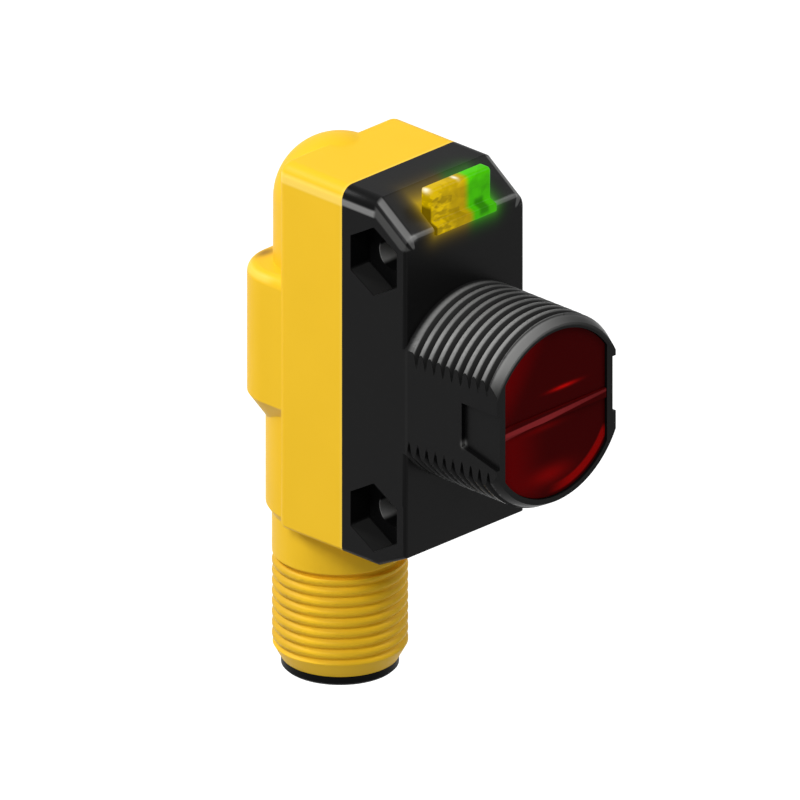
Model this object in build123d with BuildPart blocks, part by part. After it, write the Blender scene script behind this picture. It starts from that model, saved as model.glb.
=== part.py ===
from build123d import *
import os

os.makedirs("parts", exist_ok=True)

# Through-beam photoelectric sensor, receiver unit. Sizes are in millimetres. X runs across
# the sensor, Y from its lens to its back and Z up. The origin is half-way between the two
# mounting holes, on the plane that holds their axes and on the optical axis.

# Body: a black cover in front of a yellow box, joined on one flat plane
body_width = 15.0
body_height = 35.0
cover_depth = 7.8
box_depth = 8.0
wall = 1.2
shoulder_round = 1.3
corner_round = 0.4
back_corner_round = 0.9
brow_depth = 3.9
brow_drop = 2.75
chin_depth = 3.4
chin_rise = 1.7

# Mounting holes, with a nut pocket on the left side
hole_spacing = 24.6
hole_r = 1.65
hole_to_top = 5.9
hole_to_front = 3.9
nut_flats = 5.7
nut_depth = 2.5
boss_wall = 0.8

# Groove and gasket in the joint
joint_groove_inset = 0.4
joint_groove_width = 0.5
joint_groove_depth = 0.5
joint_groove_round = 1.0

# Barrel, an M18 thread cut by two flats
barrel_r = 9.0
barrel_length = 11.2
rim_chamfer = 0.6
rim_chamfer_length = 1.1
lens_r = 7.85
lens_flats = 12.7
lens_recess = 0.25
lens_thickness = 1.6
lens_ledge = 0.9
lens_bar_height = 0.9
lens_bar_depth = 0.2
lens_bulge = 1.5
keyway_length = 4.3
keyway_depth = 0.4
keyway_top = 2.05
keyway_bottom = 2.15
keyway_taper = 1.1

# Back of the shell: a domed tower on the connector axis, a collar round it and a sleeve
connector_to_joint = 7.55
tower_r = 5.9
tower_wall = 1.2
tower_rise = 0.3
collar_below_top = 10.65
collar_height = 15.4
collar_inset = 0.15
collar_margin = 0.2
collar_corner = 4.3
collar_edge_round = 1.05
collar_slope = 1.6
collar_slope_height = 2.3
sleeve_r = 6.55
sleeve_below_bottom = 0.45
sleeve_slope = 0.85

# Connector neck, an M12 thread
neck_r = 6.0
neck_length = 14.45
neck_tip_r = 5.2
neck_tip_slope = 1.45
relief_from_tip = 9.85
relief_width = 0.5
relief_depth = 0.45
insert_r = 4.75
insert_flange = 0.86
insert_below_body = 1.4
flange_round = 0.2
cup_r = 4.25
cup_depth = 8.6
key_width = 1.1
key_height = 0.6
pin_r = 0.5
pin_circle_r = 2.5
pin_recess = 1.2
pin_tail = 4.6
tail_r = 0.35
tail_end = 0.6
seal_section_r = 0.42
seal_from_tip = 10.6
seal_groove_width = 1.0
potting_depth = 2.4

# Indicator window on the brow
window_width = 7.6
window_ridge_rise = 0.7
window_ridge_front = 0.5
window_ridge_back = 1.75
window_lip = 0.25
window_lip_drop = 0.6
window_pipe_height = 1.3
window_pipe_width = 6.4
window_round = 0.25

# Circuit boards and what they carry
board_thickness = 1.0
board_edge_gap = 0.15
board_seat_gap = 0.3
board_round = 0.8
led_width = 1.6
led_height = 0.8
led_depth = 1.1
led_offset = 1.9
led_gap = 0.2
diode_size = 3.2
diode_depth = 1.0
diode_lens_r = 0.8
shield_size = 5.6
shield_depth = 2.4
shield_sheet = 0.2
shield_window_r = 1.5
chip_size = 5.0
chip_depth = 0.9
chip_z = 4.0
part_pitch = 1.8
capacitor_count = 5
resistor_count = 6
capacitor_width = 0.8
capacitor_height = 1.6
capacitor_z = 9.6
resistor_width = 0.6
resistor_height = 1.1
resistor_depth = 0.4
resistor_z = 12.0
pair_offset = 2.6
transistor_width = 2.9
transistor_height = 1.5
transistor_z = -2.6
lead_size = 0.45
lead_pitch = 0.95
protection_width = 2.8
protection_height = 1.7
protection_depth = 1.2
protection_z = -7.0
link_width = 6.6
link_height = 1.8
link_depth = 3.6
link_count = 4
link_pin = 0.5
link_pitch = 1.5
link_pin_end = 0.5
small_board_r = 4.5
small_board_thickness = 0.8

# Optics
gasket = 0.5
tube_wall = 0.7
tube_back_r = 2.6
stop_hole_r = 0.8
stop_thickness = 0.3

# Clearances
fit = 0.05
seat = 0.02

# Planes and axes that the pieces share
front_y = -hole_to_front
joint_y = front_y + cover_depth
back_y = joint_y + box_depth
tip_y = front_y - barrel_length
top_z = hole_spacing / 2 + hole_to_top
bottom_z = top_z - body_height
brow_z = top_z - brow_drop
chin_z = bottom_z + chin_rise
side_x = body_width / 2
connector_y = joint_y + connector_to_joint
neck_tip_z = bottom_z - neck_length
insert_tip_z = neck_tip_z - insert_flange
relief_z = neck_tip_z + relief_from_tip
relief_r = neck_r - relief_depth
insert_top_z = bottom_z - insert_below_body
neck_bore_r = insert_r + fit
board_y = joint_y + board_seat_gap
board_back_y = board_y + board_thickness
collar_top_z = top_z - collar_below_top
collar_bottom_z = collar_top_z - collar_height
sleeve_bottom_z = bottom_z - sleeve_below_bottom
tower_top_z = top_z + tower_rise
dome_z = tower_top_z - tower_r
lens_front_y = tip_y + lens_recess
lens_back_y = lens_front_y + lens_thickness
ledge_y = lens_back_y + gasket
bore_r = lens_r - lens_ledge
bore_flats = lens_flats - 2 * lens_ledge
seal_z = insert_tip_z + seal_from_tip
middle_z = top_z - body_height / 2
collar_y = connector_y + sleeve_r + collar_margin
collar_x = side_x - collar_inset
collar_middle_z = (collar_top_z + collar_bottom_z) / 2
tower_bore_r = tower_r - tower_wall
window_back_y = front_y + window_ridge_back
ridge_front_y = front_y + window_ridge_front
ridge_top_z = top_z + window_ridge_rise
lip_bottom_z = brow_z - window_lip_drop
pipe_bottom_z = hole_spacing / 2 + hole_r + boss_wall + 2 * fit
pipe_slot_length = brow_depth - window_ridge_back
pipe_end_y = board_y - led_depth - led_gap
lamp_z = pipe_bottom_z + window_pipe_height / 2
tube_front_r = bore_r - fit
tube_flats = bore_flats - 2 * fit
tube_back_y = board_y - shield_depth - stop_thickness
bulge_r = tube_front_r - tube_wall - 3 * fit
bulge_flats = tube_flats - 2 * tube_wall - 4 * fit
bulge_sphere_r = (bulge_r**2 + lens_bulge**2) / (2 * lens_bulge)
board_width = body_width - 2 * (wall + board_edge_gap)
board_height = body_height - 2 * (wall + board_edge_gap)
cup_floor_z = insert_tip_z + cup_depth
seal_ring_r = neck_bore_r - seal_section_r - seat
seal_groove_r = seal_ring_r - seal_section_r - seat
small_board_top_z = insert_top_z + pin_tail - tail_end
small_board_z = small_board_top_z - small_board_thickness
link_z = small_board_top_z + link_height / 2
link_places = [((place - (link_count - 1) / 2) * link_pitch, link_z) for place in range(link_count)]
link_leg_y = board_back_y + link_depth - link_pin_end
pin_offset = pin_circle_r / 2**0.5
pin_places = [
    (-pin_offset, connector_y - pin_offset),
    (pin_offset, connector_y - pin_offset),
    (pin_offset, connector_y + pin_offset),
    (-pin_offset, connector_y + pin_offset),
]
connector_axis = Axis((0, connector_y, 0), (0, 0, 1))


def on_side(edge, x):
    """Tell whether an edge lies on one of the two flat sides, at plus or minus x."""
    return abs(abs(edge.center().X) - x) < 1e-3


def flatted_circle(radius, flats):
    """Draw a circle cut by two upright flats."""
    Circle(radius)
    Rectangle(flats, 3 * radius, mode=Mode.INTERSECT)


def joint_ring(inset, width):
    """Draw a ring that follows the outline of the joint, inset from the outside."""
    with Locations((0, middle_z)):
        RectangleRounded(body_width - 2 * inset, body_height - 2 * inset, joint_groove_round)
        RectangleRounded(
            body_width - 2 * (inset + width),
            body_height - 2 * (inset + width),
            joint_groove_round - width,
            mode=Mode.SUBTRACT,
        )


# Barrel with its lead chamfer, cut by two flats that are flush with the body's sides
with BuildPart() as barrel:
    with BuildSketch(Plane.XY):
        with BuildLine():
            Polyline(
                (0, front_y + wall),
                (barrel_r, front_y + wall),
                (barrel_r, tip_y + rim_chamfer_length),
                (barrel_r - rim_chamfer, tip_y),
                (0, tip_y),
                close=True,
            )
        make_face()
    revolve(axis=Axis.Y)
    with BuildSketch(Plane.XZ.offset(-front_y - wall)):
        Rectangle(body_width, 3 * barrel_r)
    extrude(amount=barrel_length + wall, mode=Mode.INTERSECT)


# Black front cover, one moulding with its barrel
with BuildPart() as front_cover:
    with BuildSketch(Plane.YZ.offset(-side_x)):
        with BuildLine():
            Polyline(
                (joint_y, bottom_z),
                (front_y + chin_depth, bottom_z),
                (front_y, chin_z),
                (front_y, brow_z),
                (front_y + brow_depth, top_z),
                (joint_y, top_z),
                close=True,
            )
        make_face()
    extrude(amount=body_width)
    offset(amount=-wall, openings=front_cover.faces().sort_by(Axis.Y)[-1])

    sides = front_cover.edges().filter_by(lambda e: on_side(e, side_x))
    fillet(sides.filter_by(lambda e: e.center().Z > brow_z), shoulder_round)
    sides = front_cover.edges().filter_by(lambda e: on_side(e, side_x))
    low_sides = sides.filter_by(lambda e: e.center().Y < joint_y - fit)
    low_sides = low_sides.filter_by(lambda e: e.center().Z < brow_z - brow_drop)
    fillet(low_sides, corner_round)

    add(barrel.part)

    # Bosses that carry the screws and nuts across the hollow cover
    with BuildSketch(Plane.YZ.offset(-side_x)):
        with Locations((0, hole_spacing / 2), (0, -hole_spacing / 2)):
            Circle(hole_r + boss_wall)
    extrude(amount=body_width)
    with BuildSketch(Plane.YZ.offset(-side_x)):
        with Locations((0, hole_spacing / 2), (0, -hole_spacing / 2)):
            RegularPolygon(nut_flats / 2 + boss_wall, 6, major_radius=False, rotation=30)
    extrude(amount=nut_depth + boss_wall)

    # Nut pockets and screw holes
    with BuildSketch(Plane.YZ.offset(-side_x)):
        with Locations((0, hole_spacing / 2), (0, -hole_spacing / 2)):
            RegularPolygon(nut_flats / 2, 6, major_radius=False, rotation=30)
    extrude(amount=nut_depth, mode=Mode.SUBTRACT)
    with BuildSketch(Plane.YZ.offset(-side_x)):
        with Locations((0, hole_spacing / 2), (0, -hole_spacing / 2)):
            Circle(hole_r)
    extrude(amount=body_width, mode=Mode.SUBTRACT)

    # Lens seat, its ledge and the bore behind it
    with BuildSketch(Plane.XZ.offset(-tip_y)):
        flatted_circle(lens_r + fit, lens_flats + 2 * fit)
    extrude(amount=tip_y - ledge_y, mode=Mode.SUBTRACT)
    with BuildSketch(Plane.XZ.offset(-tip_y)):
        flatted_circle(bore_r, bore_flats)
    extrude(amount=-barrel_length - 2 * wall, mode=Mode.SUBTRACT)

    # Shallow keyway on each flat, the right one turned half a turn about the barrel axis
    with BuildSketch(Plane.YZ.offset(-side_x)):
        with BuildLine():
            Polyline(
                (tip_y, keyway_top),
                (tip_y + keyway_length, keyway_top),
                (tip_y + keyway_length, -keyway_bottom),
                (tip_y, -keyway_bottom - keyway_taper),
                close=True,
            )
        make_face()
    extrude(amount=keyway_depth, mode=Mode.SUBTRACT)
    with BuildSketch(Plane.YZ.offset(side_x)):
        with BuildLine():
            Polyline(
                (tip_y, -keyway_top),
                (tip_y + keyway_length, -keyway_top),
                (tip_y + keyway_length, keyway_bottom),
                (tip_y, keyway_bottom + keyway_taper),
                close=True,
            )
        make_face()
    extrude(amount=-keyway_depth, mode=Mode.SUBTRACT)

    # Opening for the indicator window, in the brow and over the front edge, and a slot
    # through the wall for its light pipe
    with BuildSketch(Plane.YZ.offset(-window_width / 2 - fit)):
        with BuildLine():
            Polyline(
                (front_y - fit, lip_bottom_z - fit),
                (window_back_y + fit, lip_bottom_z - fit),
                (window_back_y + fit, top_z),
                (front_y - fit, top_z),
                close=True,
            )
        make_face()
    extrude(amount=window_width + 2 * fit, mode=Mode.SUBTRACT)
    with BuildSketch(Plane.XZ.offset(-window_back_y)):
        with Locations((0, pipe_bottom_z + window_pipe_height / 2)):
            Rectangle(window_pipe_width + 2 * fit, window_pipe_height + 2 * fit)
    extrude(amount=-pipe_slot_length, mode=Mode.SUBTRACT)

    # Groove for the joint's gasket
    with BuildSketch(Plane.XZ.offset(-joint_y)):
        joint_ring(joint_groove_inset, joint_groove_width)
    extrude(amount=joint_groove_depth, mode=Mode.SUBTRACT)
front_cover.part.label = "front_cover"
export_step(front_cover.part, "parts/front_cover.step")


# Collar round the tower: its back corners are round and its lower edge slopes inwards
with BuildPart() as collar:
    with BuildSketch(Plane.XY.offset(collar_bottom_z)):
        with BuildLine():
            FilletPolyline(
                (-collar_x, back_y - wall),
                (-collar_x, collar_y),
                (collar_x, collar_y),
                (collar_x, back_y - wall),
                radius=collar_corner,
            )
            Line((collar_x, back_y - wall), (-collar_x, back_y - wall))
        make_face()
    extrude(amount=collar_height)
    lower_edges = collar.faces().sort_by(Axis.Z)[0].edges()
    upper_edges = collar.faces().sort_by(Axis.Z)[-1].edges()
    chamfer(
        lower_edges.sort_by(Axis.Y)[1:],
        length=collar_slope,
        length2=collar_slope_height,
        reference=collar.faces().sort_by(Axis.Z)[0],
    )
    fillet(upper_edges.sort_by(Axis.Y)[1:], collar_edge_round)


# Yellow shell: the box, its round tower, the collar and the connector neck
with BuildPart() as rear_housing:
    with BuildSketch(Plane.XZ.offset(-joint_y)):
        with Locations((0, middle_z)):
            Rectangle(body_width, body_height)
    extrude(amount=-box_depth)
    long_edges = rear_housing.edges().filter_by(Axis.Y)
    fillet(long_edges.filter_by(lambda e: e.center().Z > middle_z), shoulder_round)
    long_edges = rear_housing.edges().filter_by(Axis.Y)
    fillet(long_edges.filter_by(lambda e: e.center().Z < bottom_z + fit), corner_round)
    back_edges = rear_housing.edges().filter_by(Axis.Z)
    fillet(back_edges.filter_by(lambda e: e.center().Y > back_y - fit), back_corner_round)

    add(collar.part)

    # Tower with its dome, sleeve and neck, turned about the connector axis
    with BuildSketch(Plane.XZ.offset(-connector_y)):
        with BuildLine():
            Polyline(
                (0, neck_tip_z),
                (neck_tip_r, neck_tip_z),
                (neck_r, neck_tip_z + neck_tip_slope),
                (neck_r, relief_z - relief_width / 2),
                (relief_r, relief_z - relief_width / 2),
                (relief_r, relief_z + relief_width / 2),
                (neck_r, relief_z + relief_width / 2),
                (neck_r, sleeve_bottom_z),
                (sleeve_r, sleeve_bottom_z + sleeve_slope),
                (sleeve_r, collar_middle_z),
                (tower_r, collar_middle_z),
                (tower_r, dome_z),
            )
            RadiusArc((tower_r, dome_z), (0, tower_top_z), -tower_r)
            Line((0, tower_top_z), (0, neck_tip_z))
        make_face()
    revolve(axis=connector_axis)

    # Hollow of the box, then the bore of the tower and neck with the insert's stop
    with BuildSketch(Plane.XZ.offset(-joint_y)):
        with Locations((0, middle_z)):
            Rectangle(body_width - 2 * wall, body_height - 2 * wall)
    extrude(amount=wall - box_depth, mode=Mode.SUBTRACT)
    with BuildSketch(Plane.XZ.offset(-connector_y)):
        with BuildLine():
            Polyline(
                (0, neck_tip_z),
                (neck_bore_r, neck_tip_z),
                (neck_bore_r, insert_top_z + seat),
                (tower_bore_r, insert_top_z + seat),
                (tower_bore_r, dome_z),
            )
            RadiusArc((tower_bore_r, dome_z), (0, tower_top_z - tower_wall), -tower_bore_r)
            Line((0, tower_top_z - tower_wall), (0, neck_tip_z))
        make_face()
    revolve(axis=connector_axis, mode=Mode.SUBTRACT)
rear_housing.part.label = "rear_housing"
export_step(rear_housing.part, "parts/rear_housing.step")


# Soft seal in the joint between cover and shell
with BuildPart() as cover_gasket:
    with BuildSketch(Plane.XZ.offset(-joint_y)):
        joint_ring(joint_groove_inset + fit, joint_groove_width - 2 * fit)
    extrude(amount=joint_groove_depth - fit)
cover_gasket.part.label = "cover_gasket"
export_step(cover_gasket.part, "parts/cover_gasket.step")


# Red lens: a flatted disc with a bar across its front and one convex back face
with BuildPart() as lens_back:
    with BuildSketch(Plane.XZ.offset(-lens_back_y + fit)):
        Rectangle(bulge_flats, 3 * lens_r)
    extrude(amount=-2 * lens_bulge)
    with Locations((0, lens_back_y + lens_bulge - bulge_sphere_r, 0)):
        Sphere(bulge_sphere_r, mode=Mode.INTERSECT)

with BuildPart() as front_lens:
    with BuildSketch(Plane.XZ.offset(-lens_front_y)):
        flatted_circle(lens_r, lens_flats)
    extrude(amount=-lens_thickness)
    with BuildSketch(Plane.XZ.offset(-lens_front_y)):
        flatted_circle(lens_r, lens_flats)
        Rectangle(3 * lens_r, lens_bar_height, mode=Mode.INTERSECT)
    extrude(amount=lens_bar_depth)
    add(lens_back.part)
front_lens.part.label = "front_lens"
export_step(front_lens.part, "parts/front_lens.step")


# Seal between the lens and its ledge
with BuildPart() as lens_gasket:
    with BuildSketch(Plane.XZ.offset(-lens_back_y)):
        flatted_circle(lens_r, lens_flats)
    extrude(amount=-gasket)
    with BuildSketch(Plane.XZ.offset(-lens_back_y)):
        flatted_circle(bore_r + fit, bore_flats + 2 * fit)
    extrude(amount=-gasket, mode=Mode.SUBTRACT)
lens_gasket.part.label = "lens_gasket"
export_step(lens_gasket.part, "parts/lens_gasket.step")


# Clear indicator window: ridge and lip outside, a flat light pipe to the board inside
with BuildPart() as indicator_window:
    with BuildSketch(Plane.YZ.offset(-window_width / 2)):
        with BuildLine():
            Polyline(
                (front_y - window_lip, lip_bottom_z),
                (front_y - window_lip, brow_z + window_lip),
                (ridge_front_y, brow_z + 2 * window_lip),
                (ridge_front_y, ridge_top_z - window_round),
                (ridge_front_y + window_round, ridge_top_z),
                (window_back_y, ridge_top_z),
                (window_back_y, lip_bottom_z),
                close=True,
            )
        make_face()
    extrude(amount=window_width)
    ends = indicator_window.edges().filter_by(lambda e: on_side(e, window_width / 2))
    fillet(ends.filter_by(lambda e: e.center().Z > brow_z + window_lip + fit), window_round)
    with BuildSketch(Plane.XZ.offset(-window_back_y)):
        with Locations((0, pipe_bottom_z + window_pipe_height / 2)):
            Rectangle(window_pipe_width, window_pipe_height)
    extrude(amount=window_back_y - pipe_end_y)
indicator_window.part.label = "indicator_window"
export_step(indicator_window.part, "parts/indicator_window.step")


# Black tapered tube that keeps stray light off the detector
with BuildPart() as tube_core:
    with BuildSketch(Plane.XY):
        with BuildLine():
            Polyline(
                (0, ledge_y - fit),
                (tube_front_r - tube_wall, ledge_y - fit),
                (tube_front_r - tube_wall, ledge_y + lens_bulge),
                (tube_back_r - tube_wall, tube_back_y - tube_wall),
                (tube_back_r - tube_wall, tube_back_y + fit),
                (0, tube_back_y + fit),
                close=True,
            )
        make_face()
    revolve(axis=Axis.Y)
    with BuildSketch(Plane.XZ):
        Rectangle(tube_flats - 2 * tube_wall, 3 * lens_r)
    extrude(amount=barrel_length + 2 * cover_depth, both=True, mode=Mode.INTERSECT)

with BuildPart() as optics_holder:
    with BuildSketch(Plane.XY):
        with BuildLine():
            Polyline(
                (0, ledge_y),
                (tube_front_r, ledge_y),
                (tube_front_r, ledge_y + lens_bulge),
                (tube_back_r, tube_back_y - tube_wall),
                (tube_back_r, tube_back_y),
                (0, tube_back_y),
                close=True,
            )
        make_face()
    revolve(axis=Axis.Y)
    with BuildSketch(Plane.XZ):
        Rectangle(tube_flats, 3 * lens_r)
    extrude(amount=barrel_length + 2 * cover_depth, both=True, mode=Mode.INTERSECT)
    add(tube_core.part, mode=Mode.SUBTRACT)
optics_holder.part.label = "optics_holder"
export_step(optics_holder.part, "parts/optics_holder.step")


# Thin stop plate between the tube and the shield
with BuildPart() as aperture_plate:
    with BuildSketch(Plane.XZ.offset(-tube_back_y)):
        Circle(tube_back_r)
        Circle(stop_hole_r, mode=Mode.SUBTRACT)
    extrude(amount=-stop_thickness)
aperture_plate.part.label = "aperture_plate"
export_step(aperture_plate.part, "parts/aperture_plate.step")


# Folded metal can over the detector
with BuildPart() as detector_shield:
    with BuildSketch(Plane.XZ.offset(-board_y)):
        Rectangle(shield_size, shield_size)
    extrude(amount=shield_depth)
    offset(amount=-shield_sheet, openings=detector_shield.faces().sort_by(Axis.Y)[-1])
    with BuildSketch(Plane.XZ.offset(-board_y)):
        Circle(shield_window_r)
    extrude(amount=shield_depth, mode=Mode.SUBTRACT)
detector_shield.part.label = "detector_shield"
export_step(detector_shield.part, "parts/detector_shield.step")


# Light detector with its small dome
with BuildPart() as photodiode:
    with BuildSketch(Plane.XZ.offset(-board_y)):
        Rectangle(diode_size, diode_size)
    extrude(amount=diode_depth)
    chamfer(photodiode.faces().sort_by(Axis.Y)[0].edges(), diode_depth / 8)
    with Locations((0, board_y - diode_depth, 0)):
        Sphere(diode_lens_r)
photodiode.part.label = "photodiode"
export_step(photodiode.part, "parts/photodiode.step")


# Main circuit board, with the holes of the link pins
with BuildPart() as main_board:
    with BuildSketch(Plane.XZ.offset(-board_y)):
        with Locations((0, middle_z)):
            RectangleRounded(board_width, board_height, board_round)
        with Locations(*link_places):
            Rectangle(link_pin + 2 * seat, link_pin + 2 * seat, mode=Mode.SUBTRACT)
    extrude(amount=-board_thickness)
main_board.part.label = "main_board"
export_step(main_board.part, "parts/main_board.step")


# The two indicator lamps under the light pipe
for lamp_name, lamp_x in (("amber_led", -led_offset), ("green_led", led_offset)):
    with BuildPart() as lamp:
        with BuildSketch(Plane.XZ.offset(-board_y)):
            with Locations((lamp_x, lamp_z)):
                Rectangle(led_width, led_height)
        extrude(amount=led_depth)
        chamfer(lamp.faces().sort_by(Axis.Y)[0].edges(), led_depth / 8)
    lamp.part.label = lamp_name
    export_step(lamp.part, "parts/" + lamp_name + ".step")


# Control circuit on the back of the main board
with BuildPart() as signal_chip:
    with BuildSketch(Plane.XZ.offset(-board_back_y)):
        with Locations((0, chip_z)):
            Rectangle(chip_size, chip_size)
    extrude(amount=-chip_depth)
    chamfer(signal_chip.faces().sort_by(Axis.Y)[-1].edges(), chip_depth / 8)
signal_chip.part.label = "signal_chip"
export_step(signal_chip.part, "parts/signal_chip.step")


# Two output transistors, each a moulded block on three leads
with BuildPart() as output_transistors:
    with BuildSketch(Plane.XZ.offset(-board_back_y)):
        with Locations((-pair_offset, transistor_z), (pair_offset, transistor_z)):
            Rectangle(transistor_width, transistor_height)
    extrude(amount=-chip_depth)
    chamfer(output_transistors.faces().sort_by(Axis.Y)[-2:].edges(), chip_depth / 8)
    with BuildSketch(Plane.XZ.offset(-board_back_y)):
        for place_x in (-pair_offset, pair_offset):
            with Locations((place_x, transistor_z + transistor_height / 2)):
                Rectangle(lead_size, 2 * lead_size)
            with Locations((place_x, transistor_z - transistor_height / 2)):
                with GridLocations(2 * lead_pitch, 1, 2, 1):
                    Rectangle(lead_size, 2 * lead_size)
    extrude(amount=-shield_sheet)
output_transistors.part.label = "output_transistors"
export_step(output_transistors.part, "parts/output_transistors.step")


# Chip capacitors in a row
with BuildPart() as board_capacitors:
    with BuildSketch(Plane.XZ.offset(-board_back_y)):
        with Locations((0, capacitor_z)):
            with GridLocations(part_pitch, 1, capacitor_count, 1):
                Rectangle(capacitor_width, capacitor_height)
    extrude(amount=-capacitor_width)
board_capacitors.part.label = "board_capacitors"
export_step(board_capacitors.part, "parts/board_capacitors.step")


# Chip resistors in a row
with BuildPart() as board_resistors:
    with BuildSketch(Plane.XZ.offset(-board_back_y)):
        with Locations((0, resistor_z)):
            with GridLocations(part_pitch, 1, resistor_count, 1):
                Rectangle(resistor_width, resistor_height)
    extrude(amount=-resistor_depth)
board_resistors.part.label = "board_resistors"
export_step(board_resistors.part, "parts/board_resistors.step")


# Two moulded protection diodes
with BuildPart() as protection_diodes:
    with BuildSketch(Plane.XZ.offset(-board_back_y)):
        with Locations((-pair_offset, protection_z), (pair_offset, protection_z)):
            Rectangle(protection_width, protection_height)
    extrude(amount=-protection_depth)
    chamfer(protection_diodes.faces().sort_by(Axis.Y)[-2:].edges(), protection_depth / 8)
protection_diodes.part.label = "protection_diodes"
export_step(protection_diodes.part, "parts/protection_diodes.step")


# Black connector insert: cup, flange, seal groove, key and four pin holes
with BuildPart() as connector_insert:
    with BuildSketch(Plane.XZ.offset(-connector_y)):
        with BuildLine():
            Polyline(
                (0, cup_floor_z),
                (cup_r, cup_floor_z),
                (cup_r, insert_tip_z),
                (neck_tip_r - flange_round, insert_tip_z),
                (neck_tip_r, insert_tip_z + flange_round),
                (neck_tip_r, neck_tip_z - seat),
                (insert_r, neck_tip_z - seat),
                (insert_r, seal_z - seal_groove_width / 2),
                (seal_groove_r, seal_z - seal_groove_width / 2),
                (seal_groove_r, seal_z + seal_groove_width / 2),
                (insert_r, seal_z + seal_groove_width / 2),
                (insert_r, insert_top_z),
                (0, insert_top_z),
                close=True,
            )
        make_face()
    revolve(axis=connector_axis)
    with BuildSketch(Plane.XY.offset(cup_floor_z)):
        with Locations((0, connector_y + cup_r - key_height / 2)):
            Rectangle(key_width, key_height)
    extrude(amount=insert_flange - cup_depth)
    with BuildSketch(Plane.XY.offset(insert_top_z)):
        with Locations(*pin_places):
            Circle(pin_r + seat)
    extrude(amount=cup_floor_z - insert_top_z, mode=Mode.SUBTRACT)
connector_insert.part.label = "connector_insert"
export_step(connector_insert.part, "parts/connector_insert.step")


# Four contact pins, round-nosed, with a thinner tail for the board
for number, (pin_x, pin_y) in enumerate(pin_places, 1):
    with BuildPart() as contact_pin:
        with BuildSketch(Plane((pin_x, pin_y, 0), x_dir=(1, 0, 0), z_dir=(0, -1, 0))):
            with BuildLine():
                Polyline(
                    (0, insert_tip_z + pin_recess),
                    (pin_r / 2, insert_tip_z + pin_recess),
                    (pin_r, insert_tip_z + pin_recess + pin_r),
                    (pin_r, insert_top_z),
                    (tail_r, insert_top_z),
                    (tail_r, insert_top_z + pin_tail),
                    (0, insert_top_z + pin_tail),
                    close=True,
                )
            make_face()
        revolve(axis=Axis((pin_x, pin_y, 0), (0, 0, 1)))
    contact_pin.part.label = f"contact_pin_{number}"
    export_step(contact_pin.part, f"parts/contact_pin_{number}.step")


# Rubber ring in the insert's groove
with BuildPart() as insert_o_ring:
    with Locations((0, connector_y, seal_z)):
        Torus(seal_ring_r, seal_section_r)
insert_o_ring.part.label = "insert_o_ring"
export_step(insert_o_ring.part, "parts/insert_o_ring.step")


# Resin that closes the neck round the pins' tails
with BuildPart() as potting_resin:
    with BuildSketch(Plane.XY.offset(insert_top_z + seat)):
        with Locations((0, connector_y)):
            Circle(tower_bore_r - fit)
        with Locations(*pin_places):
            Circle(tail_r + seat, mode=Mode.SUBTRACT)
    extrude(amount=potting_depth)
potting_resin.part.label = "potting_resin"
export_step(potting_resin.part, "parts/potting_resin.step")


# Small round board that the pins' tails and the link pins pass through
with BuildPart() as connector_board:
    with BuildSketch(Plane.XY.offset(small_board_z)):
        with Locations((0, connector_y)):
            Circle(small_board_r)
        with Locations(*pin_places):
            Circle(tail_r + seat, mode=Mode.SUBTRACT)
        with Locations(*[(link_x, link_leg_y) for link_x, _ in link_places]):
            Rectangle(link_pin + 2 * seat, link_pin + 2 * seat, mode=Mode.SUBTRACT)
    extrude(amount=small_board_thickness)
connector_board.part.label = "connector_board"
export_step(connector_board.part, "parts/connector_board.step")


def link_path(clearance):
    """Draw one bent link pin from the side, grown by a clearance."""
    half = link_pin / 2 + clearance
    Polygon(
        (board_y - link_pin_end, link_z + half),
        (link_leg_y + half, link_z + half),
        (link_leg_y + half, small_board_z - link_pin_end),
        (link_leg_y - half, small_board_z - link_pin_end),
        (link_leg_y - half, link_z - half),
        (board_y - link_pin_end, link_z - half),
        align=None,
    )


# Bent pins that join the two boards
with BuildPart() as link_pins:
    for link_x, _ in link_places:
        with BuildSketch(Plane.YZ.offset(link_x - link_pin / 2)):
            link_path(0)
        extrude(amount=link_pin)
link_pins.part.label = "link_pins"
export_step(link_pins.part, "parts/link_pins.step")


# Moulded body that holds the link pins
with BuildPart() as board_link:
    with BuildSketch(Plane.XZ.offset(-board_back_y)):
        with Locations((0, link_z)):
            Rectangle(link_width, link_height)
    extrude(amount=-link_depth)
    for link_x, _ in link_places:
        with BuildSketch(Plane.YZ.offset(link_x - link_pin / 2 - seat)):
            link_path(seat)
        extrude(amount=link_pin + 2 * seat, mode=Mode.SUBTRACT)
board_link.part.label = "board_link"
export_step(board_link.part, "parts/board_link.step")
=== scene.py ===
# %% [markdown]
# # A photoelectric receiver with a threaded barrel
#
# This lesson dresses a small optical sensor. Its body is two plastic mouldings, a yellow
# shell and a black cover, with a red lens in a threaded barrel, a lit window on the brow
# and a round threaded connector underneath. The solids arrive as a fixed frame, and every
# cell adds one thing to them.

import math

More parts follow.
